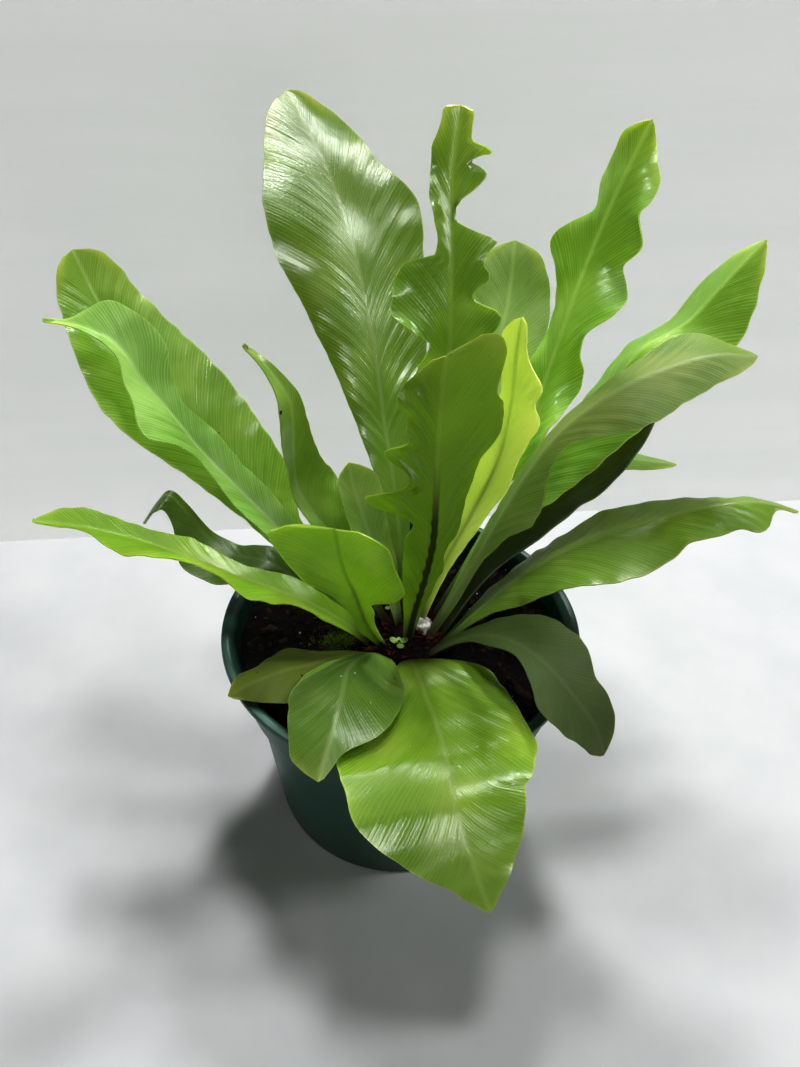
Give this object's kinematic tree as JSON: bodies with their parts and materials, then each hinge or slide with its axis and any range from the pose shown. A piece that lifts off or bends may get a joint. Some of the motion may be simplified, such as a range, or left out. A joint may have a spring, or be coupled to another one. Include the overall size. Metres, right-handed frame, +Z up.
{
  "type": "potted fern",
  "caption": "Live bird's-nest-type fern with broad undivided strap fronds, wavy and lobed, rising from a scaly crown in a round tapered nursery pot filled with potting mix.",
  "frame": {"origin": "centre of the pot's flat underside, on the surface it stands on", "axes": "+Z up along the pot's axis; +Y away from the side the plant was pictured from; +X to that viewer's right"},
  "size_m": [0.3111, 0.2363, 0.3117],
  "materials": {
    "pot_plastic": "satin dark green moulded plastic",
    "potting_mix": "damp dark peat and bark, matt",
    "crown_scales": "dry red-brown scales",
    "frond_mid_green": "leathery leaf with a waxy gloss and fine slanting veins",
    "frond_dull_green": "leathery leaf, dull",
    "frond_pale_green": "leathery leaf, satin",
    "frond_dark_green": "leathery leaf, satin",
    "frond_bright_green": "leathery leaf with a waxy gloss",
    "frond_yellow_green": "young soft leaf, satin",
    "frond_olive": "ageing leaf, yellowed at the edge",
    "perlite": "rough white mineral",
    "moss": "fine tufted moss",
    "seedling": "soft young leaf"
  },
  "bodies": {
    "root": {"pot": "pot_plastic", "potting_mix": "potting_mix", "crown": "crown_scales", "frond_back_left": "frond_mid_green", "frond_back_lobed": "frond_mid_green", "frond_back": "frond_dull_green", "frond_back_right": "frond_mid_green", "frond_left_high": "frond_mid_green", "frond_left_arching": "frond_mid_green", "frond_right_high": "frond_mid_green", "frond_right_arching": "frond_pale_green", "frond_right_shaded": "frond_dark_green", "frond_right_back_low": "frond_dull_green", "frond_right_low": "frond_mid_green", "frond_centre": "frond_bright_green", "frond_centre_yellow": "frond_yellow_green", "frond_left_folded": "frond_mid_green", "frond_left_short": "frond_pale_green", "frond_front_young": "frond_yellow_green", "frond_left_low": "frond_bright_green", "frond_left_back_low": "frond_dark_green", "frond_front_right": "frond_dull_green", "frond_front": "frond_bright_green", "frond_front_left": "frond_mid_green", "frond_left_yellow": "frond_olive", "perlite": "perlite", "moss_mound": "moss", "seedling": "seedling"}
  },
  "joints": []
}
